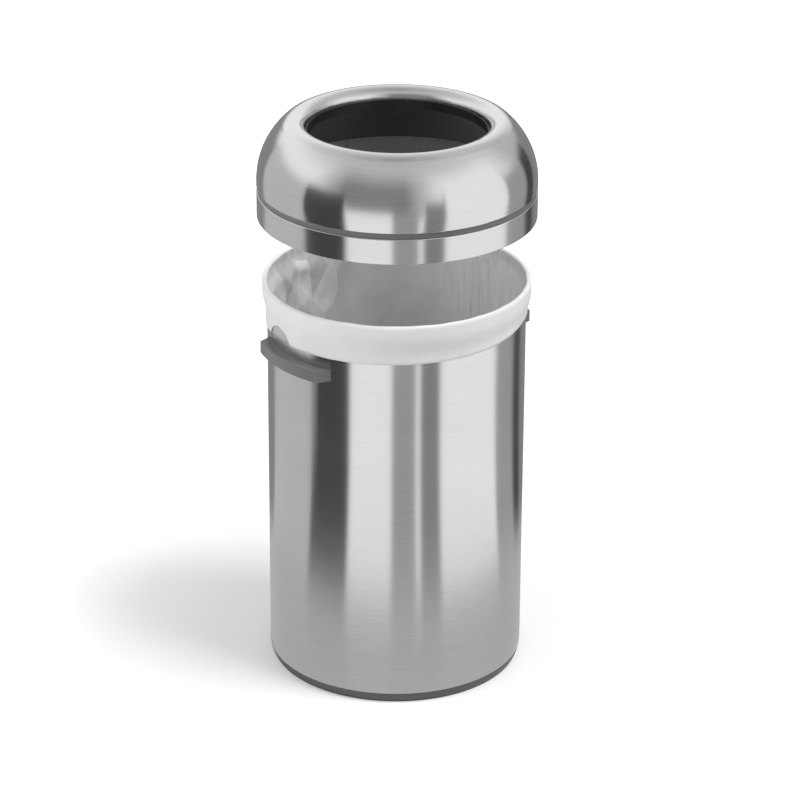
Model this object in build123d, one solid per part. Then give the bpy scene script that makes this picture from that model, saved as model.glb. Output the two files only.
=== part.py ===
from build123d import *
import math
import os

# Round open-top trash can with a lift-off domed lid, drawn with the lid held above the can.
# Millimetres, +Z up. The origin is the centre of the foot on the floor, -Y is the front,
# and the two side handles are on +X and -X.

# Can wall
can_radius = 190.0
can_sheet = 0.6
rim_top_z = 606.0
rim_curl_radius = 3.4
rim_curl_sweep = 300.0

# Foot ring
ring_show_height = 15.5
ring_foot_inset = 5.5
ring_bulge = 1.2
ring_step = 0.4
ring_tread_width = 24.5
ring_tread = 3.0
ring_wall = 2.5
ring_lip_height = 4.5
ring_boss_radius = 6.5

# Floor pan
pan_sheet = 0.6
pan_flange_height = 6.0
pan_bend = 3.0
pan_land_width = 21.25
pan_panel_rise = 2.5
pan_panel_slope = 5.0

# Side handles
handle_drop = 87.0
handle_height = 18.0
handle_reach = 17.5
handle_wall_angle = 23.6
handle_face_angle = 19.8
handle_top = 4.0
handle_skin = 3.2
handle_end = 6.0
handle_round = 2.0
handle_boss_radius = 4.5
plate_sheet = 1.4
plate_height = 15.0
plate_angle = 21.0

# Bag and drawstring
film = 0.5
film_gap = 0.3
bag_wall_gap = 5.0
bag_floor_gap = 2.4
bag_corner = 26.0
bag_neck_drop = 20.0
hem_drop = 59.5
hem_knee_drop = 44.0
hem_bulge_drop = 17.0
hem_wall_gap = 1.5
notch_width = 58.0
notch_height = 17.0
notch_angle = 170.6
string_height = 22.0
string_sheet = 0.4
string_wall_gap = 0.5
string_rise = 2.5

# Lid
lid_overhang = 13.8
lid_sheet = 0.6
lid_rise = 159.2
seat_height = 62.5
seat_gap = 0.4
band_height = 37.9
groove_height = 8.2
groove_depth = 2.2
edge_turn = 3.0
edge_bend = 1.4
dome_straight = 7.7
shoulder_radius = 113.0
shoulder_turn = 48.7
crown_radius = 26.0
lip_radius = 17.0
mouth_skirt = 6.0

# Lid ring, inner shell and mouth collar
lid_ring_wall = 1.8
lid_ring_shelf = 2.4
lid_ring_shelf_width = 13.0
lid_boss_radius = 3.8
lid_boss_height = 5.0
guide_rib_count = 12
guide_rib_width = 3.0
guide_rib_depth = 1.1
guide_rib_height = 40.0
liner_wall = 2.0
liner_lip_inset = 5.4
liner_lip_drop = 10.4
liner_roof_drop = 24.5
liner_roof_width = 28.7
liner_roof_round = 12.0
collar_lip = 0.8
collar_outer = 2.4
collar_height = 12.8
collar_flange = 7.5
collar_flange_sheet = 2.2

# Screws
base_screw_count = 4
base_screw_head = 4.0
base_screw_head_height = 2.4
base_screw_shank = 2.0
base_screw_length = 20.0
base_recess_depth = 3.4
handle_screw_head = 4.0
handle_screw_head_height = 2.0
handle_screw_shank = 2.0
handle_screw_length = 13.0
handle_screw_angle = 17.5
lid_screw_count = 6
lid_screw_head = 3.0
lid_screw_head_height = 1.6
lid_screw_shank = 1.5
lid_screw_length = 8.0
drive_width = 3.6
drive_slot = 0.9
drive_depth = 1.1

# Clearances
fit_gap = 0.2
edge_gap = 0.1
screw_gap = 0.05
recess_gap = 0.6

# Places of the can's pieces, worked out from the sizes above
wall_inner_radius = can_radius - can_sheet
curl_centre = (wall_inner_radius + rim_curl_radius, rim_top_z - rim_curl_radius)
ring_top_z = ring_show_height + ring_lip_height
ring_foot_radius = can_radius - ring_foot_inset
ring_inner_radius = ring_foot_radius - ring_tread_width
pan_top_z = ring_top_z + fit_gap + pan_sheet
base_screw_circle = ring_foot_radius - ring_tread_width / 2
handle_mid_z = rim_top_z - handle_drop
handle_low_z = handle_mid_z - handle_height / 2
handle_inner_radius = can_radius + fit_gap
handle_outer_radius = can_radius + handle_reach
plate_outer_radius = wall_inner_radius - fit_gap
plate_inner_radius = plate_outer_radius - plate_sheet
pan_panel_radius = base_screw_circle - pan_land_width - pan_panel_slope
bag_radius = wall_inner_radius - bag_wall_gap
bag_floor_z = pan_top_z + pan_panel_rise + bag_floor_gap
hem_low_z = rim_top_z - hem_drop
hem_knee_z = rim_top_z - hem_knee_drop
hem_bulge_z = rim_top_z - hem_bulge_drop

# Places of the lid's pieces, with the lid held at its rise above the seated place
seat_z = rim_top_z + film_gap + film + seat_gap + lid_rise
lid_z = seat_z - seat_height
groove_low_z = lid_z + band_height
dome_z = groove_low_z + groove_height
lid_radius = can_radius + lid_overhang
turn = math.radians(shoulder_turn)
shoulder_centre = (lid_radius - shoulder_radius, dome_z + dome_straight)
crown_centre = (
    shoulder_centre[0] + (shoulder_radius - crown_radius) * math.cos(turn),
    shoulder_centre[1] + (shoulder_radius - crown_radius) * math.sin(turn),
)
crown_z = crown_centre[1] + crown_radius
lip_centre = (crown_centre[0], crown_z - lip_radius)
mouth_radius = lip_centre[0] - lip_radius
lid_ring_radius = lid_radius - edge_turn - fit_gap
lid_ring_inner = lid_ring_radius - lid_ring_wall
shelf_z = seat_z + liner_wall + edge_gap
shelf_top_z = shelf_z + lid_ring_shelf
lid_screw_circle = lid_ring_inner - lid_ring_shelf_width / 2
collar_face_radius = mouth_radius - edge_gap - collar_lip
collar_radius = mouth_radius + lid_sheet + edge_gap + collar_outer
collar_top_z = lip_centre[1] - fit_gap
collar_low_z = collar_top_z - collar_height
liner_lip_radius = wall_inner_radius - liner_lip_inset
liner_roof_radius = collar_radius + liner_roof_width
roof_z = crown_z - liner_roof_drop


def joined(*pieces):
    """One path from pieces that follow on from each other."""
    return Wire([edge for piece in pieces for edge in piece.edges()])


def turned(*outline):
    """The solid made by turning a closed outline, in radius and height, about Z."""
    edges = [edge for piece in outline for edge in piece.edges()]
    return revolve(Plane.XZ * make_face(edges), Axis.Z)


def turned_polygon(*points):
    """The solid made by turning a polygon about Z."""
    return turned(Polyline(*points, close=True))


def turned_sheet(path, sheet):
    """The turned sheet between path(0) and path(sheet), two paths that run the same way."""
    outer = path(0)
    inner = path(sheet)
    return turned(outer, inner, Line(outer @ 0, inner @ 0), Line(outer @ 1, inner @ 1))


def sector(inner_radius, outer_radius, inner_angle, outer_angle):
    """A flat ring sector about +X, with a half angle of its own for each arc."""
    inner = CenterArc((0, 0), inner_radius, -inner_angle, 2 * inner_angle)
    outer = CenterArc((0, 0), outer_radius, -outer_angle, 2 * outer_angle)
    return make_face([inner, outer, Line(inner @ 0, outer @ 0), Line(inner @ 1, outer @ 1)])


def on_circle(radius, angle, z):
    """A place on a circle about Z, with X pointing outwards and Z up."""
    return Location((0, 0, z), (0, 0, angle)) * Location((radius, 0, 0))


def outwards(radius, angle, z):
    """A place on a circle about Z, with Z pointing outwards."""
    return on_circle(radius, angle, z) * Location((0, 0, 0), (0, 90, 0))


def around(count):
    """Angles spread evenly round a circle, half a step from +X."""
    return [360 / count * (n + 0.5) for n in range(count)]


def rod(radius, length):
    """A cylinder that starts at the origin and runs along +Z."""
    return Cylinder(radius, length, align=(Align.CENTER, Align.CENTER, Align.MIN))


def drive_recess():
    """The cross that a screwdriver fits, cut from the origin along +Z."""
    slot = Box(drive_width, drive_slot, drive_depth, align=(Align.CENTER, Align.CENTER, Align.MIN))
    return slot + Rot(0, 0, 90) * slot


def pan_head_screw(head, head_height, shank, length):
    """A pan-head screw that seats at the origin, with its shank along +Z."""
    cap = Pos(0, 0, -head_height) * rod(head, head_height)
    cap = fillet(cap.edges().group_by(Axis.Z)[0], head_height / 2)
    return cap + rod(shank, length) - Pos(0, 0, -head_height) * drive_recess()


def countersunk_screw(head, head_height, shank, length):
    """A countersunk screw whose flat head is level with the origin, with its shank along +Z."""
    cone = Cone(head, shank, head_height, align=(Align.CENTER, Align.CENTER, Align.MIN))
    return cone + rod(shank, length) - drive_recess()


def base_screw_places():
    """Where the foot ring's screws seat, pointing up."""
    return [on_circle(base_screw_circle, angle, base_recess_depth) for angle in around(base_screw_count)]


def handle_screw_places(side):
    """Where one handle's screws seat on the inside of its plate, pointing outwards."""
    angles = (side - handle_screw_angle, side + handle_screw_angle)
    return [outwards(plate_inner_radius - edge_gap, angle, handle_mid_z) for angle in angles]


def lid_screw_places():
    """Where the screws of the lid's inner shell seat, pointing up."""
    return [on_circle(lid_screw_circle, angle, seat_z) for angle in around(lid_screw_count)]


def can_wall():
    """Rolled steel sheet, its top edge curled outwards into a bead."""

    def path(inset):
        curl = CenterArc(curl_centre, rim_curl_radius - inset, 180, -rim_curl_sweep)
        return joined(Line((wall_inner_radius + inset, ring_show_height), curl @ 0), curl)

    wall = turned_sheet(path, can_sheet)
    for side in (0, 180):
        for place in handle_screw_places(side):
            wall -= place * rod(handle_screw_shank + edge_gap, 2 * handle_reach)
    return wall


def can_floor():
    """Pressed steel pan: a raised middle panel and an upright flange inside the wall."""
    flat_z = pan_top_z - pan_sheet

    def path(inset):
        outer = wall_inner_radius - edge_gap - inset
        panel = [
            (0, flat_z + pan_panel_rise + inset),
            (pan_panel_radius, flat_z + pan_panel_rise + inset),
            (pan_panel_radius + pan_panel_slope, flat_z + inset),
            (outer - pan_bend + inset, flat_z + inset),
        ]
        bend_centre = (outer - pan_bend + inset, flat_z + pan_bend)
        bend = CenterArc(bend_centre, pan_bend - inset, -90, 90)
        return joined(Polyline(*panel), bend, Line(bend @ 1, (outer, flat_z + pan_flange_height)))

    pan = turned_sheet(path, pan_sheet)
    for place in base_screw_places():
        pan -= place * rod(base_screw_shank + screw_gap, base_screw_length)
    return pan


def base_ring():
    """Moulded foot ring: an open channel with screw bosses, and a lip inside the steel wall."""
    show_radius = can_radius - ring_step
    lip_radius_outer = wall_inner_radius - fit_gap
    lip_inner = lip_radius_outer - ring_wall
    foot = (ring_foot_radius, 0)
    shoulder = (show_radius, ring_show_height)
    face = SagittaArc(foot, shoulder, -ring_bulge)
    rest = Polyline(
        shoulder,
        (lip_radius_outer, ring_show_height),
        (lip_radius_outer, ring_top_z),
        (lip_inner, ring_top_z),
        (lip_inner, ring_show_height),
        (ring_foot_radius - ring_wall, ring_tread),
        (ring_inner_radius + ring_wall, ring_tread),
        (ring_inner_radius + ring_wall, ring_top_z),
        (ring_inner_radius, ring_top_z),
        (ring_inner_radius, 0),
        foot,
    )
    ring = turned(face, rest)
    for place in base_screw_places():
        below = Pos(0, 0, -base_recess_depth)
        ring += place * below * rod(ring_boss_radius, ring_top_z)
        ring -= place * below * rod(base_screw_head + recess_gap, base_recess_depth)
        ring -= place * rod(base_screw_shank + screw_gap, base_screw_length)
    return ring


def base_screws():
    """Four pan-head screws, sunk into the foot ring from below."""
    screw = pan_head_screw(base_screw_head, base_screw_head_height, base_screw_shank, base_screw_length)
    return [place * Pos(0, 0, -edge_gap) * screw for place in base_screw_places()]


def handle(side):
    """Moulded side handle: a solid top and skins round a finger pocket that is open below."""
    body = extrude(
        sector(handle_inner_radius, handle_outer_radius, handle_wall_angle, handle_face_angle),
        handle_height,
    )
    outer_corners = body.edges().filter_by(Axis.Z).sort_by(lambda edge: abs(edge.center().Y))[:2]
    body = fillet(outer_corners, handle_round)
    top_edges = body.edges().group_by(Axis.Z)[-1]
    body = fillet([edge for edge in top_edges if edge.center().X > handle_inner_radius], handle_round)
    pocket_inner = handle_inner_radius + handle_skin
    pocket_outer = handle_outer_radius - handle_skin
    pocket_angle = handle_face_angle - math.degrees(handle_end / handle_outer_radius)
    body -= extrude(sector(pocket_inner, pocket_outer, pocket_angle, pocket_angle), handle_height - handle_top)
    body = Pos(0, 0, handle_low_z) * body
    for place in handle_screw_places(0):
        reach = Pos(0, 0, handle_inner_radius + handle_skin / 2 - plate_inner_radius)
        body += place * reach * rod(handle_boss_radius, handle_reach - handle_skin)
    for place in handle_screw_places(0):
        body -= place * rod(handle_screw_shank + screw_gap, handle_screw_length + edge_gap)
    return Rot(0, 0, side) * body


def handle_plate(side):
    """Steel strip inside the wall, bent to its curve, with two screw holes."""
    plate = extrude(sector(plate_inner_radius, plate_outer_radius, plate_angle, plate_angle), plate_height)
    plate = Rot(0, 0, side) * Pos(0, 0, handle_mid_z - plate_height / 2) * plate
    for place in handle_screw_places(side):
        plate -= place * rod(handle_screw_shank + edge_gap, 2 * plate_sheet)
    return plate


def handle_screws(side):
    """Two pan-head screws from inside the can, through plate and wall into the handle."""
    screw = pan_head_screw(
        handle_screw_head, handle_screw_head_height, handle_screw_shank, handle_screw_length
    )
    return [place * screw for place in handle_screw_places(side)]


def liner_bag():
    """Film bag: it hangs inside the wall, runs over the rim bead and folds down outside as a hem."""

    def path(inset):
        fold = CenterArc(curl_centre, rim_curl_radius + film_gap + film - inset, 180, -180)
        corner_centre = (bag_radius - bag_corner, bag_floor_z + bag_corner)
        corner = CenterArc(corner_centre, bag_corner - film + inset, -90, 90)
        neck = (bag_radius - film + inset, curl_centre[1] - bag_neck_drop)
        hem_radius = can_radius + hem_wall_gap + film - inset
        return joined(
            Line((0, bag_floor_z + film - inset), corner @ 0),
            corner,
            Polyline(corner @ 1, neck, fold @ 0),
            fold,
            Polyline(fold @ 1, ((fold @ 1).X, hem_bulge_z), (hem_radius, hem_knee_z), (hem_radius, hem_low_z)),
        )

    bag = turned_sheet(path, film)
    notch_radius = ((notch_width / 2) ** 2 + notch_height**2) / (2 * notch_height)
    for angle in (notch_angle, notch_angle + 180):
        place = outwards(can_radius, angle, hem_low_z + notch_height - notch_radius)
        bag -= place * Cylinder(notch_radius, 2 * rim_curl_radius)
    return bag


def drawstring():
    """Flat ribbon that runs round the can inside the hem."""
    inner = can_radius + string_wall_gap
    outer = inner + string_sheet
    low = hem_low_z + string_rise
    high = low + string_height
    return turned_polygon((inner, low), (outer, low), (outer, high), (inner, high))


def lid_band():
    """Steel band with both edges turned inwards."""

    def path(inset):
        start = lid_radius - edge_turn
        outer = lid_radius - inset
        points = [
            (start, lid_z + inset),
            (outer, lid_z + inset),
            (outer, groove_low_z - inset),
            (start, groove_low_z - inset),
        ]
        return FilletPolyline(*points, radius=edge_bend - inset)

    return turned_sheet(path, lid_sheet)


def lid_dome():
    """Spun steel dome: turned-in lower edge, round shoulder, and a mouth rolled inwards and down."""

    def path(inset):
        outer = lid_radius - inset
        foot = FilletPolyline(
            (lid_radius - edge_turn, dome_z + inset),
            (outer, dome_z + inset),
            (outer, shoulder_centre[1]),
            radius=edge_bend - inset,
        )
        shoulder = CenterArc(shoulder_centre, shoulder_radius - inset, 0, shoulder_turn)
        crown = CenterArc(crown_centre, crown_radius - inset, shoulder_turn, 90 - shoulder_turn)
        lip = CenterArc(lip_centre, lip_radius - inset, 90, 90)
        skirt = Line(lip @ 1, ((lip @ 1).X, lip_centre[1] - mouth_skirt))
        return joined(foot, shoulder, crown, lip, skirt)

    return turned_sheet(path, lid_sheet)


def lid_ring():
    """Moulded ring that carries band and dome on one rib, with a shelf above for the inner shell."""
    rib_radius = lid_radius - groove_depth
    ring = turned_polygon(
        (lid_ring_inner, lid_z + lid_sheet + fit_gap),
        (lid_ring_radius, lid_z + lid_sheet + fit_gap),
        (lid_ring_radius, groove_low_z + edge_gap),
        (rib_radius, groove_low_z + edge_gap),
        (rib_radius, dome_z - edge_gap),
        (lid_ring_radius, dome_z - edge_gap),
        (lid_ring_radius, shelf_top_z),
        (lid_ring_inner - lid_ring_shelf_width, shelf_top_z),
        (lid_ring_inner - lid_ring_shelf_width, shelf_z),
        (lid_ring_inner, shelf_z),
    )
    rib = Box(2 * guide_rib_depth, guide_rib_width, guide_rib_height)
    for angle in around(guide_rib_count):
        ring += on_circle(lid_ring_inner, angle, dome_z - guide_rib_height / 2) * rib
    for place in lid_screw_places():
        ring += place * Pos(0, 0, shelf_z - seat_z) * rod(lid_boss_radius, lid_ring_shelf + lid_boss_height)
        ring -= place * rod(lid_screw_shank + screw_gap, lid_screw_length + edge_gap)
    return ring


def lid_liner():
    """Moulded inner shell: a roof round the mouth, a sloping wall, and a channel for the can's rim."""
    lip_z = seat_z - liner_lip_drop
    slope = math.atan2(liner_lip_radius - liner_roof_radius, roof_z - lip_z)
    across = liner_wall / math.cos(slope)
    hole = collar_radius + fit_gap
    rim = lid_ring_inner - fit_gap

    def wall_radius(z):
        return liner_lip_radius + across - (z - lip_z) * math.tan(slope)

    top_z = seat_z + liner_wall
    outer_roof_z = roof_z + liner_wall
    inner = FilletPolyline(
        (hole, roof_z),
        (liner_roof_radius, roof_z),
        (liner_lip_radius, lip_z),
        radius=liner_roof_round,
    )
    outer = FilletPolyline(
        (hole, outer_roof_z),
        (wall_radius(outer_roof_z), outer_roof_z),
        (wall_radius(top_z), top_z),
        radius=liner_roof_round + liner_wall,
    )
    channel = Polyline(
        outer @ 1,
        (rim, top_z),
        (rim, seat_z),
        (wall_radius(seat_z), seat_z),
        (wall_radius(lip_z), lip_z),
        inner @ 1,
    )
    shell = turned(inner, outer, channel, Line(inner @ 0, outer @ 0))
    sink = Cone(
        lid_screw_head + edge_gap,
        lid_screw_shank + edge_gap,
        lid_screw_head_height + edge_gap,
        align=(Align.CENTER, Align.CENTER, Align.MIN),
    )
    for place in lid_screw_places():
        shell -= place * sink
        shell -= place * rod(lid_screw_shank + edge_gap, 2 * liner_wall)
    return shell


def opening_collar():
    """Moulded collar: a groove takes the raw steel edge, a flange presses under the shell's roof."""
    groove_z = lip_centre[1] - mouth_skirt - fit_gap
    flange_top = roof_z - edge_gap
    flange_low = flange_top - collar_flange_sheet
    flange_radius = collar_radius + collar_flange
    groove_inner = mouth_radius - edge_gap
    groove_outer = mouth_radius + lid_sheet + edge_gap
    return turned_polygon(
        (collar_face_radius, collar_low_z),
        (collar_radius, collar_low_z),
        (collar_radius, flange_low),
        (flange_radius, flange_low),
        (flange_radius, flange_top),
        (collar_radius, flange_top),
        (collar_radius, collar_top_z),
        (groove_outer, collar_top_z),
        (groove_outer, groove_z),
        (groove_inner, groove_z),
        (groove_inner, collar_top_z),
        (collar_face_radius, collar_top_z),
    )


def lid_screws():
    """Countersunk screws, level with the roof of the channel."""
    screw = countersunk_screw(lid_screw_head, lid_screw_head_height, lid_screw_shank, lid_screw_length)
    return [place * screw for place in lid_screw_places()]


pieces = {
    "can_wall": can_wall(),
    "can_floor": can_floor(),
    "base_ring": base_ring(),
    "base_screws": base_screws(),
    "handle_right": handle(0),
    "handle_left": handle(180),
    "handle_plate_right": handle_plate(0),
    "handle_plate_left": handle_plate(180),
    "handle_screws_right": handle_screws(0),
    "handle_screws_left": handle_screws(180),
    "liner_bag": liner_bag(),
    "drawstring": drawstring(),
    "lid_band": lid_band(),
    "lid_dome": lid_dome(),
    "lid_ring": lid_ring(),
    "lid_liner": lid_liner(),
    "opening_collar": opening_collar(),
    "lid_screws": lid_screws(),
}

os.makedirs("parts", exist_ok=True)
for name, piece in pieces.items():
    solids = piece if isinstance(piece, list) else piece.solids()
    export_step(Compound(children=list(solids)), f"parts/{name}.step")
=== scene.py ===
import math

import bpy
from mathutils import Matrix, Vector, noise


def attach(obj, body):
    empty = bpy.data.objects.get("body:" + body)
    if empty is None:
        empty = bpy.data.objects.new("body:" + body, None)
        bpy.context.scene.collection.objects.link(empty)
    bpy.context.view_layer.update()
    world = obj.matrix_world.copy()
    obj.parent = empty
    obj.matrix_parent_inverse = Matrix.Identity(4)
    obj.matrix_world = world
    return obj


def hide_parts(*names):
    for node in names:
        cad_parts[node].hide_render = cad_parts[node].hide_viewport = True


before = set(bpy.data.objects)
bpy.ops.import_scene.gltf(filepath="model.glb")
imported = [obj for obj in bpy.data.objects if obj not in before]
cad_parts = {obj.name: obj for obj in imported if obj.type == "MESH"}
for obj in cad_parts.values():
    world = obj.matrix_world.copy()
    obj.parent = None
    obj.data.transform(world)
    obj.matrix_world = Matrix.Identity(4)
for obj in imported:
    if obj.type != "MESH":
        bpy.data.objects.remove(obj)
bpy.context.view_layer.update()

# The camera.
# It stands in front of the can and to its left, and looks down on it through a long lens.
camera_turn = math.radians(-37.0)
camera_distance = 4.7022
camera_height = 2.5059
camera_down = 0.4198
camera_yaw = 0.0012
camera_roll = -0.0054
camera_lens = 156.1
bpy.ops.object.select_all(action="DESELECT")
bpy.ops.object.camera_add()
camera = bpy.context.object
camera.data.lens = camera_lens
camera.data.sensor_width = 36.0
camera.data.clip_end = 50.0
camera.matrix_world = (
    Matrix.Rotation(camera_turn, 4, "Z")
    @ Matrix.Translation((0.0, -camera_distance, camera_height))
    @ Matrix.Rotation(-camera_yaw, 4, "Z")
    @ Matrix.Rotation(math.pi / 2 - camera_down, 4, "X")
    @ Matrix.Rotation(-camera_roll, 4, "Z")
)
bpy.context.scene.camera = camera
bpy.context.scene.view_settings.view_transform = "Standard"


# The studio floor.
# One wide sheet of white paper, which keeps the can's soft shadow.
def new_finish(name):
    """A new material, with its nodes, its links and its shader."""
    finish = bpy.data.materials.new(name)
    finish.use_nodes = True
    tree = finish.node_tree
    return finish, tree.nodes, tree.links, tree.nodes["Principled BSDF"]


def put(nodes, kind, **settings):
    """A new node; a setting that starts with in_ goes to the input socket of that name."""
    node = nodes.new(kind)
    for key, value in settings.items():
        if key.startswith("in_"):
            node.inputs[key[3:].replace("_", " ")].default_value = value
        else:
            setattr(node, key, value)
    return node


def work_out(nodes, links, operation, *values):
    """The result of a sum on sockets and plain numbers."""
    node = nodes.new("ShaderNodeMath")
    node.operation = operation
    for socket, value in zip(node.inputs, values):
        if isinstance(value, (int, float)):
            socket.default_value = value
        else:
            links.new(value, socket)
    return node.outputs[0]


def spread(nodes, links, value, low, high, to_low, to_high, smooth=False):
    """A value taken from one range to another, and held at its ends."""
    node = nodes.new("ShaderNodeMapRange")
    node.interpolation_type = "SMOOTHSTEP" if smooth else "LINEAR"
    links.new(value, node.inputs["Value"])
    node.inputs["From Min"].default_value = low
    node.inputs["From Max"].default_value = high
    node.inputs["To Min"].default_value = to_low
    node.inputs["To Max"].default_value = to_high
    return node.outputs[0]


floor_size = 30.0
floor_white = 0.8
# The paper glows for the camera, and shows paler with the distance from the can's axis, in two steps: the
# weaker glow near the can is painted shade that deepens its shadow there, and the far step keeps the
# distant paper white.
near_reach = (0.19, 0.60)
near_shade_lift = (0.22, 0.35)
far_reach = (0.75, 2.2)
far_lift = (0.0, 0.65)
bpy.ops.object.select_all(action="DESELECT")
bpy.ops.mesh.primitive_plane_add(size=floor_size)
floor = bpy.context.object
floor.name = "studio_floor"
floor_paper, nodes, links, paper = new_finish("floor_paper")
paper.inputs["Base Color"].default_value = (floor_white, floor_white, floor_white, 1.0)
paper.inputs["Roughness"].default_value = 0.9
paper.inputs["Specular IOR Level"].default_value = 0.0
paper.inputs["Emission Color"].default_value = (1.0, 1.0, 1.0, 1.0)
seen = put(nodes, "ShaderNodeLightPath")
place = put(nodes, "ShaderNodeTexCoord")
away = put(nodes, "ShaderNodeVectorMath", operation="LENGTH")
links.new(place.outputs["Object"], away.inputs[0])
# Painted shade: less glow near the can's foot darkens the shadow there.
near = spread(nodes, links, away.outputs["Value"], *near_reach, *near_shade_lift, smooth=True)
far = spread(nodes, links, away.outputs["Value"], *far_reach, *far_lift, smooth=True)
lift = work_out(nodes, links, "ADD", near, far)
lift = work_out(nodes, links, "MULTIPLY", seen.outputs["Is Camera Ray"], lift)
links.new(lift, paper.inputs["Emission Strength"])
floor.data.materials.append(floor_paper)


# The studio light.
# A pale sky all round, a large soft lamp high on the right and a weaker one low on the left.
sky_light = 0.39
world = bpy.data.worlds.new("studio_sky")
bpy.context.scene.world = world
world.use_nodes = True
nodes = world.node_tree.nodes
links = world.node_tree.links
sky = nodes["Background"]
sky.inputs["Color"].default_value = (1.0, 1.0, 1.0, 1.0)
seen = put(nodes, "ShaderNodeLightPath")
brightness = spread(nodes, links, seen.outputs["Is Camera Ray"], 0.0, 1.0, sky_light, 1.0)
links.new(brightness, sky.inputs["Strength"])


def soft_lamp(name, size, power, turn, reach, height, aim_height):
    """A square lamp at a turn from the camera's side, pointed at the can's axis."""
    turn = camera_turn + math.radians(turn)
    place = Vector((reach * math.sin(turn), -reach * math.cos(turn), height))
    bpy.ops.object.select_all(action="DESELECT")
    bpy.ops.object.light_add(type="AREA", location=place)
    lamp = bpy.context.object
    lamp.name = name
    lamp.data.size = size
    lamp.data.energy = power
    lamp.visible_glossy = False
    aim = Vector((0.0, 0.0, aim_height)) - place
    lamp.rotation_euler = aim.to_track_quat("-Z", "Y").to_euler()


soft_lamp("key_lamp", size=2.9, power=395.0, turn=66.0, reach=3.3, height=7.1, aim_height=0.4)
soft_lamp("fill_lamp", size=1.4, power=25.0, turn=-70.0, reach=2.4, height=1.5, aim_height=0.5)


# The light tent, which paints the reflections.
# Glowing white, grey and black cloths stand round the can under a glowing cloth roof, with a glowing ring
# on the floor. The camera, diffuse light and shadows don't see them; only polished surfaces do, as painted
# reflections.
tent_radius = 1.1
tent_wall = 1.3
tent_top = 2.3
tent_foot = 0.2
tent_clear = 0.002
tent_steps = 96
roof_rings = 8
tent_glow = 1.32
tent_yaw = math.radians(1.7)
bpy.ops.object.select_all(action="DESELECT")
bpy.ops.mesh.primitive_circle_add(vertices=tent_steps, radius=tent_foot, location=(0.0, 0.0, tent_clear))
tent = bpy.context.object
tent.name = "light_tent"
bpy.ops.object.transform_apply(location=True)


def draw_out(rings):
    """Extrudes the open loop of the object in hand from ring to ring of (radius, height)."""
    bpy.ops.object.mode_set(mode="EDIT")
    for (radius, height), (next_radius, next_height) in zip(rings, rings[1:]):
        grow = next_radius / radius
        bpy.ops.mesh.extrude_region_move(TRANSFORM_OT_translate={"value": (0.0, 0.0, next_height - height)})
        bpy.ops.transform.resize(value=(grow, grow, 1.0), center_override=(0.0, 0.0, 0.0))
    bpy.ops.object.mode_set(mode="OBJECT")


bpy.ops.object.mode_set(mode="EDIT")
bpy.ops.mesh.select_all(action="SELECT")
bpy.ops.object.mode_set(mode="OBJECT")
tent_rings = [(tent_foot, tent_clear), (tent_radius, tent_clear), (tent_radius, tent_wall)]
for ring in range(1, roof_rings):
    rise = math.pi / 2 * ring / roof_rings
    tent_rings.append((tent_radius * math.cos(rise), tent_wall + (tent_top - tent_wall) * math.sin(rise)))
draw_out(tent_rings)

# How brightly each kind of cloth glows.
white, pale, grey, dark, black = 0.80, 0.45, 0.30, 0.20, 0.05
# Each standing cloth: the turn of its left edge from the camera's side, its brightness and its height.
cloths = (
    (-180, dark, 1.0), (-130, pale, 1.1), (-75, black, 1.1), (-40, white, 0.8), (-5, grey, 0.8),
    (14, white, 0.6), (18, dark, 1.0), (34, white, 1.5), (90, grey, 1.0), (117, black, 1.0),
    (132, dark, 1.0),
)
cloth_edge = 1.7
# The roof cloths, in the same way.
roof_cloths = ((-180, white), (-60, dark), (20, white), (100, pale), (150, white))
roof_edge = 15.0
roof_rise = (1.35, 2.1)
overhead = 0.50
# The ring on the floor glows too, as the painted reflection of the floor.
floor_glow = 0.40
floor_reach = (0.64, 0.46)


def axis_distance(nodes, links, place):
    """How far a point stands from the can's axis."""
    flat = put(nodes, "ShaderNodeVectorMath", operation="MULTIPLY")
    flat.inputs[1].default_value = (1.0, 1.0, 0.0)
    links.new(place.outputs["Object"], flat.inputs[0])
    radius = put(nodes, "ShaderNodeVectorMath", operation="LENGTH")
    links.new(flat.outputs[0], radius.inputs[0])
    return radius.outputs["Value"]


# The tent's glow: painted reflections of bright and dark cloths, seen only in polished surfaces.
reflection_glow_finish, nodes, links, unused = new_finish("tent_painted_reflections")
nodes.remove(unused)
place = put(nodes, "ShaderNodeTexCoord")
facing = put(nodes, "ShaderNodeVectorRotate", rotation_type="Z_AXIS", in_Angle=-camera_turn - tent_yaw)
part = put(nodes, "ShaderNodeSeparateXYZ")
links.new(place.outputs["Object"], facing.inputs["Vector"])
links.new(facing.outputs[0], part.inputs[0])
toward = work_out(nodes, links, "MULTIPLY", part.outputs["Y"], -1.0)
turn = work_out(nodes, links, "ARCTAN2", part.outputs["X"], toward)
turn_share = spread(nodes, links, turn, -math.pi, math.pi, 0.0, 1.0)
reach = axis_distance(nodes, links, place)


def round_ramp(levels, softness):
    """A level that changes at each left edge round the can, from pairs of degrees and level."""
    stops = [levels[0]]
    for (degrees, level), (unused_degrees, before) in zip(levels[1:], levels):
        stops += [(degrees - softness, before), (degrees + softness, level)]
    ramp = nodes.new("ShaderNodeValToRGB")
    links.new(turn_share, ramp.inputs["Fac"])
    steps = ramp.color_ramp.elements
    steps.remove(steps[-1])
    for number, (degrees, level) in enumerate(stops):
        position = degrees / 360.0 + 0.5
        step = steps.new(position) if number else steps[0]
        step.position = position
        step.color = (level, level, level, 1.0)
    return ramp.outputs["Color"]


def blend(share, first, second):
    """From one brightness to another."""
    node = put(nodes, "ShaderNodeMix", data_type="FLOAT")
    for socket, value in zip((node.inputs[0], node.inputs[2], node.inputs[3]), (share, first, second)):
        if isinstance(value, (int, float)):
            socket.default_value = value
        else:
            links.new(value, socket)
    return node.outputs[0]


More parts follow.
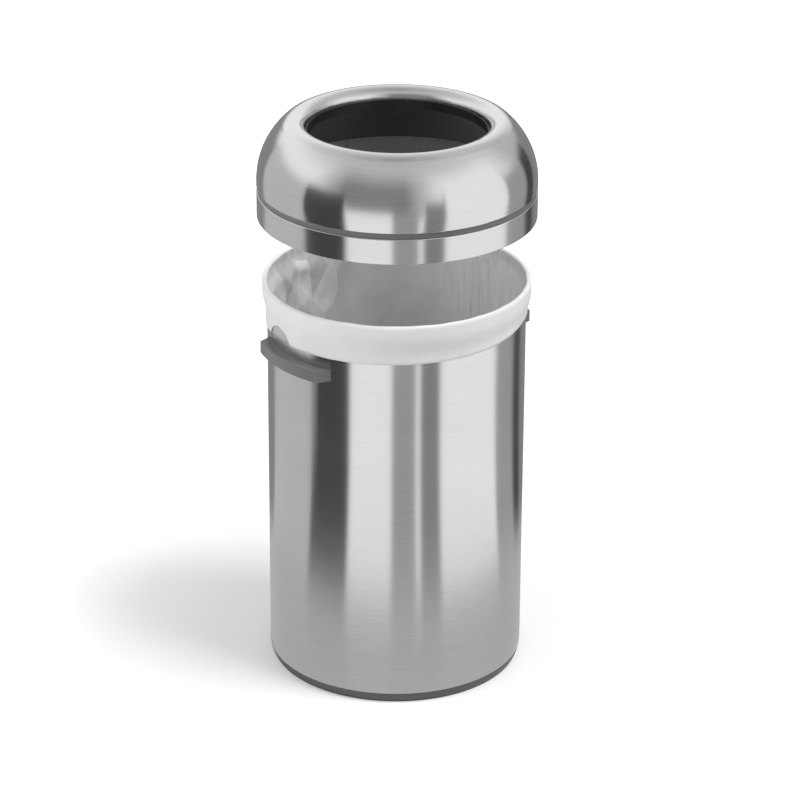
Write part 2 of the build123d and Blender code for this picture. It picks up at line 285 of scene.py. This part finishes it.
cloth_softness = 0.09
standing = round_ramp([(degrees, level) for degrees, level, top in cloths], cloth_edge)
tops = round_ramp([(degrees, top) for degrees, level, top in cloths], cloth_edge)
above = work_out(nodes, links, "SUBTRACT", part.outputs["Z"], tops)
over_cloth = spread(nodes, links, above, -cloth_softness, cloth_softness, 0.0, 1.0, smooth=True)
rise = spread(nodes, links, part.outputs["Z"], *roof_rise, 0.0, 1.0, smooth=True)
walls = blend(over_cloth, standing, blend(rise, round_ramp(roof_cloths, roof_edge), overhead))
on_floor = spread(nodes, links, reach, *floor_reach, 0.0, 1.0, smooth=True)
glow = put(nodes, "ShaderNodeEmission", in_Strength=tent_glow)
links.new(blend(on_floor, walls, floor_glow), glow.inputs["Color"])
links.new(glow.outputs[0], nodes["Material Output"].inputs["Surface"])
reflection_glow_finish.cycles.emission_sampling = "NONE"
tent.data.materials.append(reflection_glow_finish)
for sight in ("camera", "diffuse", "transmission", "volume_scatter", "shadow"):
    setattr(tent, "visible_" + sight, False)


# The steel wall of the can, with its floor pan.
# Stainless sheet, brushed, rolled round and welded down the back; the pan is pressed from the same sheet.
def brushed_steel(name, tone, rough, fine=1.0):
    """Stainless steel brushed round the can's axis."""
    tone_change = 0.03
    rough_change = 0.018
    finish, nodes, links, metal = new_finish(name)
    metal.inputs["Metallic"].default_value = 1.0
    metal.inputs["Anisotropic"].default_value = 0.87
    metal.inputs["Anisotropic Rotation"].default_value = 0.25
    around = put(nodes, "ShaderNodeTangent", direction_type="RADIAL", axis="Z")
    links.new(around.outputs[0], metal.inputs["Tangent"])
    place = put(nodes, "ShaderNodeTexCoord")
    part = put(nodes, "ShaderNodeSeparateXYZ")
    links.new(place.outputs["Object"], part.inputs[0])
    radius = axis_distance(nodes, links, place)

    def scratches(along, across):
        """Long thin noise: along is its scale round the can, across its scale over the sheet."""
        height = work_out(nodes, links, "MULTIPLY", part.outputs["Z"], across / along)
        lie = put(nodes, "ShaderNodeCombineXYZ")
        links.new(part.outputs["X"], lie.inputs["X"])
        links.new(part.outputs["Y"], lie.inputs["Y"])
        links.new(height, lie.inputs["Z"])
        grain = put(nodes, "ShaderNodeTexNoise", noise_dimensions="4D", in_Detail=2.0, in_Roughness=0.6)
        grain.inputs["Scale"].default_value = along
        links.new(lie.outputs[0], grain.inputs["Vector"])
        links.new(work_out(nodes, links, "MULTIPLY", radius, across / along), grain.inputs["W"])
        return grain.outputs["Fac"]

    hairline = scratches(34.0, 900.0 * fine)
    streak = scratches(16.0, 520.0 * fine)
    cloud = scratches(5.0, 12.0)
    mixed = work_out(nodes, links, "ADD", hairline, work_out(nodes, links, "ADD", streak, cloud))
    uneven_tone = spread(nodes, links, mixed, 1.1, 1.9, tone - tone_change, tone + tone_change)
    links.new(uneven_tone, metal.inputs["Base Color"])
    uneven_rough = spread(nodes, links, mixed, 1.1, 1.9, rough - rough_change, rough + rough_change)
    links.new(uneven_rough, metal.inputs["Roughness"])
    relief = put(nodes, "ShaderNodeBump", in_Strength=0.025, in_Distance=0.0001)
    links.new(hairline, relief.inputs["Height"])
    links.new(relief.outputs[0], metal.inputs["Normal"])
    return finish


def dress(finish, *names):
    """Gives CAD nodes one finish all over."""
    for name in names:
        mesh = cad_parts[name].data
        mesh.materials.clear()
        mesh.materials.append(finish)


wall_steel = brushed_steel("wall_steel", tone=0.70, rough=0.20)
dress(wall_steel, "can_wall")
dress(brushed_steel("pan_steel", tone=0.62, rough=0.30, fine=0.4), "can_floor")


def weld_seam(name, radius, low, high, body):
    """A flat bead of weld down the back of a rolled sheet."""
    bead_width = 0.0017
    bead_depth = 0.0004
    bpy.ops.object.select_all(action="DESELECT")
    bpy.ops.mesh.primitive_cube_add(size=1.0, location=(0.0, radius, (low + high) / 2))
    bead = bpy.context.object
    bead.name = name
    bead.scale = (bead_width, bead_depth, high - low)
    bpy.ops.object.transform_apply(location=True, rotation=True, scale=True)
    bpy.ops.object.mode_set(mode="EDIT")
    bpy.ops.mesh.select_all(action="SELECT")
    bpy.ops.mesh.bevel(offset=bead_depth * 0.4, segments=2)
    bpy.ops.object.mode_set(mode="OBJECT")
    bead.data.materials.append(wall_steel)
    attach(bead, body)


weld_seam("wall_seam", radius=0.19, low=0.040, high=0.598, body="can")


# The foot ring and its screws.
# The ring is one grey moulding that lifts the steel off the floor; four screws hold it to the pan.
def moulded_plastic(name, tone, rough, pebble_depth=0.12):
    """Moulded plastic with a fine spark texture and slightly uneven colour."""
    finish, nodes, links, shell = new_finish(name)
    place = put(nodes, "ShaderNodeTexCoord")
    pebble = put(nodes, "ShaderNodeTexNoise", in_Scale=1100.0, in_Detail=3.0)
    cloud = put(nodes, "ShaderNodeTexNoise", in_Scale=11.0, in_Detail=4.0)
    links.new(place.outputs["Object"], pebble.inputs["Vector"])
    links.new(place.outputs["Object"], cloud.inputs["Vector"])
    uneven = work_out(nodes, links, "ADD", pebble.outputs["Fac"], cloud.outputs["Fac"])
    links.new(spread(nodes, links, uneven, 0.7, 1.3, tone * 0.93, tone * 1.07), shell.inputs["Base Color"])
    links.new(spread(nodes, links, uneven, 0.7, 1.3, rough - 0.05, rough + 0.05), shell.inputs["Roughness"])
    relief = put(nodes, "ShaderNodeBump", in_Strength=pebble_depth, in_Distance=0.0003)
    links.new(pebble.outputs["Fac"], relief.inputs["Height"])
    links.new(relief.outputs[0], shell.inputs["Normal"])
    return finish


def plated_steel(name, tone, rough):
    """Zinc plate, with the faint flowers of its crystals."""
    finish, nodes, links, metal = new_finish(name)
    metal.inputs["Metallic"].default_value = 1.0
    place = put(nodes, "ShaderNodeTexCoord")
    flower = put(nodes, "ShaderNodeTexVoronoi", in_Scale=160.0)
    links.new(place.outputs["Object"], flower.inputs["Vector"])
    petal = flower.outputs["Distance"]
    links.new(spread(nodes, links, petal, 0.0, 0.8, tone - 0.08, tone + 0.04), metal.inputs["Base Color"])
    links.new(spread(nodes, links, petal, 0.0, 0.8, rough - 0.08, rough + 0.08), metal.inputs["Roughness"])
    return finish


dress(moulded_plastic("foot_plastic", tone=0.105, rough=0.45), "base_ring")
screw_plate = plated_steel("screw_plate", tone=0.6, rough=0.28)
dress(screw_plate, "base_screws")


# The side handles, with the steel strips and screws that hold them.
# Grey mouldings, open below for the fingers; two screws each go through strip and wall from inside.
dress(moulded_plastic("handle_plastic", tone=0.165, rough=0.30), "handle_left", "handle_right")
dress(plated_steel("strip_zinc", tone=0.55, rough=0.4), "handle_plate_left", "handle_plate_right")
dress(screw_plate, "handle_screws_left", "handle_screws_right")


# The bag.
# A sack of thin white film, blown as a tube and welded across the bottom. It hangs in the can, folded out
# over the rolled rim, and a half-moon is cut out of its hem near each handle to take hold of the ribbon.
film_steps = 400
film_gauge = 0.0003
bag_middle = 0.004
flat_middle = 0.03
bag_floor = 0.0262
bag_radius = 0.1842
bag_corner = 0.026
fine_from = 0.40
neck_low = 0.5826
rim_centre = (0.1928, 0.6026)
fold_inside = 0.0037
fold_outside = 0.0042
hem_bulge = 0.589
hem_knee = 0.562
hem_low = 0.5465
hem_wall = 0.1919
hem_lean = 0.003
hem_lift_right = 0.010
hem_drop_left = 0.005
notch_turns = (-62.4, 117.6)
notch_half = 0.0312
notch_height = 0.0203
notch_radius = 0.0341
# Each set of slanting folds: depth, share along the film, share up it, spacing, waver and start.
slanting_folds = (
    (0.0026, 0.93, 0.36, 0.029, 0.5, 0.0),
    (0.0034, 0.72, -0.69, 0.046, -0.8, 0.3),
    (0.0022, 0.25, 0.97, 0.058, 0.9, 0.0),
)
deepest_fold = 0.0085


def eased(value, low, high):
    """From 0 at low to 1 at high, without a corner at either end."""
    share = min(max((value - low) / (high - low), 0.0), 1.0)
    return share * share * (3.0 - 2.0 * share)


def within_half_turn(angle):
    """The same angle, between half a turn back and half a turn on."""
    return (angle + math.pi) % (2 * math.pi) - math.pi


def hem_slant(turn):
    """How much higher the hem hangs here: it is pulled down on the left and rides up on the right."""
    side = math.sin(turn)
    return hem_lean * side + (hem_lift_right if side > 0 else hem_drop_left) * side**5


def hem_edge(turn):
    """The height of the hem's lower edge, with its two cuts."""
    height = hem_low + hem_slant(turn)
    for notch in notch_turns:
        off = within_half_turn(turn - math.radians(notch)) * hem_wall
        if abs(off) < notch_half:
            height += math.sqrt(notch_radius**2 - off**2) - notch_radius + notch_height
    return height


def fold_line(value):
    """A sharp fold once in every unit, with flat film between."""
    return 2.0 * abs(value % 1.0 - 0.5)


def swell(turn, middle, width):
    """1 at a turn in degrees, falling away on both sides of it."""
    return math.exp(-(((math.degrees(turn) - middle) / width) ** 2))


def crumple(turn, height):
    """How far the loose film stands in from its tube: slanting folds on the left, pleats on the right."""
    along = turn * bag_radius
    slanted = swell(turn, -124.0, 30.0)
    pleated = swell(turn, 116.0, 26.0)
    stray = noise.noise(Vector((along / 0.075, height / 0.10, 1.7)))
    patch = eased(noise.noise(Vector((along / 0.05, height / 0.07, 4.9))), -0.35, 0.25)
    folds = 0.0
    for deep, run, climb, spacing, waver, start in slanting_folds:
        folds += deep * fold_line((run * along + climb * height) / spacing + waver * stray + start)
    depth = folds * (0.10 + 0.95 * slanted) * (0.35 + 0.65 * patch)
    depth += 0.0020 * fold_line(along / 0.0118 + 0.9 * stray) * (0.10 + 0.9 * pleated)
    depth += 0.0022 * fold_line(along / 0.037 + 0.6 * stray + 0.4) * (0.25 + 0.75 * pleated)
    depth += 0.0016 * (0.5 + noise.noise(Vector((along / 0.05, height / 0.30, 7.7))))
    return min(max(depth, 0.0), deepest_fold)


def shares(count):
    """Even steps up to 1, without the 0."""
    return [step / count for step in range(1, count + 1)]


bpy.ops.object.select_all(action="DESELECT")
bpy.ops.mesh.primitive_circle_add(
    vertices=film_steps, radius=bag_middle, fill_type="TRIFAN", location=(0.0, 0.0, bag_floor))
bag = bpy.context.object
bag.name = "bag_film_sack"
bpy.ops.object.transform_apply(location=True)
bag_rings = [(bag_middle, bag_floor)]
for share in shares(8):
    bag_rings.append((bag_middle + (bag_radius - bag_corner - bag_middle) * share, bag_floor))
for share in shares(5):
    bend = math.pi / 2 * share
    bag_rings.append((
        bag_radius - bag_corner + bag_corner * math.sin(bend),
        bag_floor + bag_corner * (1.0 - math.cos(bend)),
    ))
for share in shares(17):
    bag_rings.append((bag_radius, bag_floor + bag_corner + (fine_from - bag_floor - bag_corner) * share))
for share in shares(45):
    bag_rings.append((bag_radius, fine_from + (neck_low - fine_from) * share))
for share in shares(4):
    bag_rings.append((
        bag_radius + (rim_centre[0] - fold_inside - bag_radius) * share,
        neck_low + (rim_centre[1] - neck_low) * share,
    ))
for share in shares(8):
    bend = math.pi * share
    reach = fold_inside + (fold_outside - fold_inside) * share
    bag_rings.append((rim_centre[0] - reach * math.cos(bend), rim_centre[1] + reach * math.sin(bend)))
for share in shares(16):
    bag_rings.append((rim_centre[0] + fold_outside, rim_centre[1] - (rim_centre[1] - hem_low) * share))

bpy.ops.object.mode_set(mode="EDIT")
bpy.ops.mesh.select_mode(type="EDGE")
bpy.ops.mesh.select_all(action="DESELECT")
bpy.ops.mesh.select_non_manifold(
    extend=False, use_wire=False, use_multi_face=False, use_non_contiguous=False, use_verts=False)
bpy.ops.object.mode_set(mode="OBJECT")
draw_out(bag_rings)

for vertex in bag.data.vertices:
    place = vertex.co
    radius = math.hypot(place.x, place.y)
    if radius < flat_middle:
        continue
    spot = math.atan2(place.x, -place.y)
    turn = within_half_turn(spot - camera_turn)
    height = place.z
    if radius > rim_centre[0] + 0.003 and height < rim_centre[1] - 0.0005:
        # The hem, which hangs outside the wall.
        share = (rim_centre[1] - height) / (rim_centre[1] - hem_low)
        height = rim_centre[1] - share * (rim_centre[1] - hem_edge(turn))
        slack = 1.0 - eased(height, hem_knee, hem_bulge)
        ripple = noise.noise(Vector((turn * 7.0, height / 0.05, 2.2)))
        ripple += 0.5 * noise.noise(Vector((turn * 23.0, height / 0.03, 9.1)))
        bulge = eased(height, hem_knee - 0.004, hem_bulge)
        reach = hem_wall + (rim_centre[0] + fold_outside - hem_wall) * bulge
        reach += 0.0007 * slack * max(ripple, -0.3)
    elif radius > rim_centre[0] - fold_inside + 0.0001 and height > rim_centre[1] - 0.0005:
        # The fold over the rim.
        lifted = eased(height, rim_centre[1], rim_centre[1] + fold_outside)
        wobble = noise.noise(Vector((turn * 7.0, 0.0, 4.4)))
        wobble += 0.5 * noise.noise(Vector((turn * 19.0, 0.0, 8.1)))
        height += 0.0006 * lifted * (min(max(wobble, -0.3), 0.4) - 0.7)
        inner = 1.0 - eased(radius, rim_centre[0] - fold_inside, rim_centre[0])
        reach = radius - 0.0016 * inner * lifted * max(wobble, 0.0)
    else:
        # The sack itself, which lies loose against the wall.
        tight = 1.0 - eased(height, 0.572, 0.592)
        low_calm = 0.35 + 0.65 * eased(height, 0.25, 0.42)
        on_wall = eased(height, bag_floor + bag_corner * 0.6, 0.09)
        reach = radius - crumple(turn, height) * tight * low_calm * on_wall
        loose = eased(height, 0.566, 0.584) * (1.0 - eased(height, 0.594, rim_centre[1]))
        pleat = fold_line(turn * bag_radius / 0.014 + noise.noise(Vector((turn * 6.0, height / 0.04, 5.5))))
        reach += min(0.0030 * loose * pleat, max(0.1890 - radius, 0.0))
    vertex.co = (reach * math.sin(spot), -reach * math.cos(spot), height)

film_wall = bag.modifiers.new("film_wall", "SOLIDIFY")
film_wall.thickness = film_gauge
film_wall.offset = 0.0
bpy.ops.object.modifier_apply(modifier=film_wall.name)
bpy.ops.object.shade_smooth()

bag_film, nodes, links, film = new_finish("bag_film")
film.inputs["Specular IOR Level"].default_value = 0.14
place = put(nodes, "ShaderNodeTexCoord")
radius = axis_distance(nodes, links, place)
milky = put(nodes, "ShaderNodeTexNoise", in_Scale=26.0, in_Detail=3.0)
links.new(place.outputs["Object"], milky.inputs["Vector"])
upright = put(nodes, "ShaderNodeVectorMath", operation="MULTIPLY")
upright.inputs[1].default_value = (1.0, 1.0, 0.045)
links.new(place.outputs["Object"], upright.inputs[0])
draw_lines = put(nodes, "ShaderNodeTexNoise", in_Scale=330.0, in_Detail=2.0)
links.new(upright.outputs[0], draw_lines.inputs["Vector"])
split = put(nodes, "ShaderNodeSeparateXYZ")
links.new(place.outputs["Object"], split.inputs[0])


def near_spot(x, y, z, size):
    """1 at a spot on the sack and 0 at a distance of size."""
    off = put(nodes, "ShaderNodeVectorMath", operation="DISTANCE")
    off.inputs[1].default_value = (x, y, z)
    links.new(place.outputs["Object"], off.inputs[0])
    return spread(nodes, links, off.outputs["Value"], size * 0.35, size, 1.0, 0.0, smooth=True)


# Spots where the folds inside get painted light and shade: creased facets on the left, pleat streaks on the
# right.
facet_shade_spot = near_spot(-0.060, 0.174, 0.55, 0.15)
pleat_streak_spot = near_spot(0.182, -0.029, 0.56, 0.17)
# Painted shade: each facet cell gets its own darker or lighter grey, as if tilted to the light, and the
# cell edges a thin painted highlight along the fold lines.
facet_cells = put(nodes, "ShaderNodeTexVoronoi", in_Scale=21.0, in_Randomness=1.0)
fold_edges = put(nodes, "ShaderNodeTexVoronoi", feature="DISTANCE_TO_EDGE", in_Scale=21.0)
leaning = put(nodes, "ShaderNodeMapping", in_Rotation=(0.5, -0.4, 0.2), in_Scale=(1.5, 1.5, 0.8))
links.new(place.outputs["Object"], leaning.inputs["Vector"])
for texture in (facet_cells, fold_edges):
    links.new(leaning.outputs[0], texture.inputs["Vector"])
facet_cell_tone = put(nodes, "ShaderNodeSeparateColor")
links.new(facet_cells.outputs["Color"], facet_cell_tone.inputs[0])
edge = spread(nodes, links, fold_edges.outputs["Distance"], 0.0, 0.045, 1.0, 0.0)
painted_facet_shade = work_out(nodes, links, "SUBTRACT", facet_cell_tone.outputs[0], 1.45)
painted_facet_shade = work_out(nodes, links, "MULTIPLY", painted_facet_shade, 0.26)
painted_facet_shade = work_out(nodes, links, "ADD", painted_facet_shade, work_out(nodes, links, "MULTIPLY", edge, 0.10))
# Painted light and shade: the draw-line noise, made much stronger, paints light and dark streaks for the
# pleats on the right.
pleats = work_out(nodes, links, "SUBTRACT", draw_lines.outputs["Fac"], 0.47)
pleats = work_out(nodes, links, "MULTIPLY", pleats, 0.60)
# Painted highlight: the film is made paler towards the top of the fold over the rim, where the light falls
# on it.
painted_fold_light = spread(nodes, links, split.outputs["Z"], 0.575, 0.604, 0.0, 0.03, smooth=True)
pale = spread(nodes, links, milky.outputs["Fac"], 0.3, 0.7, 0.90, 0.93)
pale = work_out(nodes, links, "ADD", pale, painted_fold_light)
inside = work_out(nodes, links, "LESS_THAN", radius, 0.1895)
# Painted shade: the hem outside the can is made darker below the crown of the fold, so that the crown alone
# shows bright, as a painted highlight.
hem_shade_step = spread(nodes, links, split.outputs["Z"], 0.6040, 0.6068, -0.11, 0.0, smooth=True)
painted_hem_shade = work_out(nodes, links, "MULTIPLY", hem_shade_step, work_out(nodes, links, "SUBTRACT", 1.0, inside))
pale = work_out(nodes, links, "ADD", pale, painted_hem_shade)
painted_facet_shade = work_out(nodes, links, "MULTIPLY", painted_facet_shade, facet_shade_spot)
pleats = work_out(nodes, links, "MULTIPLY", pleats, pleat_streak_spot)
# All the painted light and shade of the folds, kept to the film inside the can.
painted_fold_shading = work_out(nodes, links, "ADD", painted_facet_shade, pleats)
painted_fold_shading = work_out(nodes, links, "MULTIPLY", painted_fold_shading, inside)
# The film's tone, with its painted light and shade.
tint = work_out(nodes, links, "ADD", pale, painted_fold_shading)
links.new(work_out(nodes, links, "MINIMUM", tint, 0.97), film.inputs["Base Color"])
links.new(spread(nodes, links, milky.outputs["Fac"], 0.3, 0.7, 0.50, 0.62), film.inputs["Roughness"])
single = spread(nodes, links, milky.outputs["Fac"], 0.3, 0.7, 0.93, 0.98)
folded = spread(nodes, links, radius, 0.1888, 0.1905, 0.0, 1.0, smooth=True)
cover = put(nodes, "ShaderNodeMix", data_type="FLOAT")
links.new(folded, cover.inputs[0])
links.new(single, cover.inputs[2])
cover.inputs[3].default_value = 0.98
links.new(cover.outputs[0], film.inputs["Alpha"])
relief = put(nodes, "ShaderNodeBump", in_Strength=0.22, in_Distance=0.0006)
links.new(draw_lines.outputs["Fac"], relief.inputs["Height"])
links.new(relief.outputs[0], film.inputs["Normal"])
bag.data.materials.append(bag_film)
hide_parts("liner_bag")
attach(bag, "can")


# The drawstring.
# A flat grey ribbon of stronger film that runs round the can inside the hem.
ribbon_radius = 0.1906
ribbon_rise = 0.0002
ribbon_height = 0.0219
ribbon_gauge = 0.0002
bpy.ops.object.select_all(action="DESELECT")
bpy.ops.mesh.primitive_circle_add(
    vertices=200, radius=ribbon_radius, fill_type="NOTHING", location=(0.0, 0.0, hem_low + ribbon_rise))
ribbon = bpy.context.object
ribbon.name = "drawstring_ribbon"
bpy.ops.object.transform_apply(location=True)
bpy.ops.object.mode_set(mode="EDIT")
bpy.ops.mesh.select_all(action="SELECT")
bpy.ops.object.mode_set(mode="OBJECT")
draw_out([(ribbon_radius, hem_low + ribbon_rise + ribbon_height * ring / 4) for ring in range(5)])
for vertex in ribbon.data.vertices:
    place = vertex.co
    place.z += hem_slant(math.atan2(place.x, -place.y) - camera_turn)
ribbon_wall = ribbon.modifiers.new("ribbon_wall", "SOLIDIFY")
ribbon_wall.thickness = ribbon_gauge
ribbon_wall.offset = 0.0
bpy.ops.object.modifier_apply(modifier=ribbon_wall.name)
bpy.ops.object.shade_smooth()
ribbon_film, nodes, links, film = new_finish("ribbon_film")
film.inputs["Specular IOR Level"].default_value = 0.3
place = put(nodes, "ShaderNodeTexCoord")
grain = put(nodes, "ShaderNodeTexNoise", in_Scale=60.0, in_Detail=4.0)
links.new(place.outputs["Object"], grain.inputs["Vector"])
links.new(spread(nodes, links, grain.outputs["Fac"], 0.3, 0.7, 0.45, 0.52), film.inputs["Base Color"])
links.new(spread(nodes, links, grain.outputs["Fac"], 0.3, 0.7, 0.4, 0.55), film.inputs["Roughness"])
ribbon.data.materials.append(ribbon_film)
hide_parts("drawstring")
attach(ribbon, "can")


# The lid's steel band and dome.
# The band is a rolled strip; the dome is spun from one sheet, and its mouth is rolled inwards.
dress(brushed_steel("band_steel", tone=0.70, rough=0.20), "lid_band")
dress(brushed_steel("dome_steel", tone=0.70, rough=0.17), "lid_dome")
weld_seam("band_seam", radius=0.2038, low=0.7055, high=0.7405, body="lid")


# The lid ring.
# A grey moulding that shows in the groove between band and dome and carries both.
dress(moulded_plastic("lid_ring_plastic", tone=0.165, rough=0.42), "lid_ring")


# The inner shell of the lid, with its screws.
# A dark satin moulding that funnels the rubbish and sits on the can's rim.
dress(moulded_plastic("shell_plastic", tone=0.022, rough=0.34, pebble_depth=0.06), "lid_liner")
dress(screw_plate, "lid_screws")


# The collar in the mouth.
# A black moulding pushed over the raw edge of the rolled steel.
dress(moulded_plastic("collar_plastic", tone=0.006, rough=0.4, pebble_depth=0.06), "opening_collar")
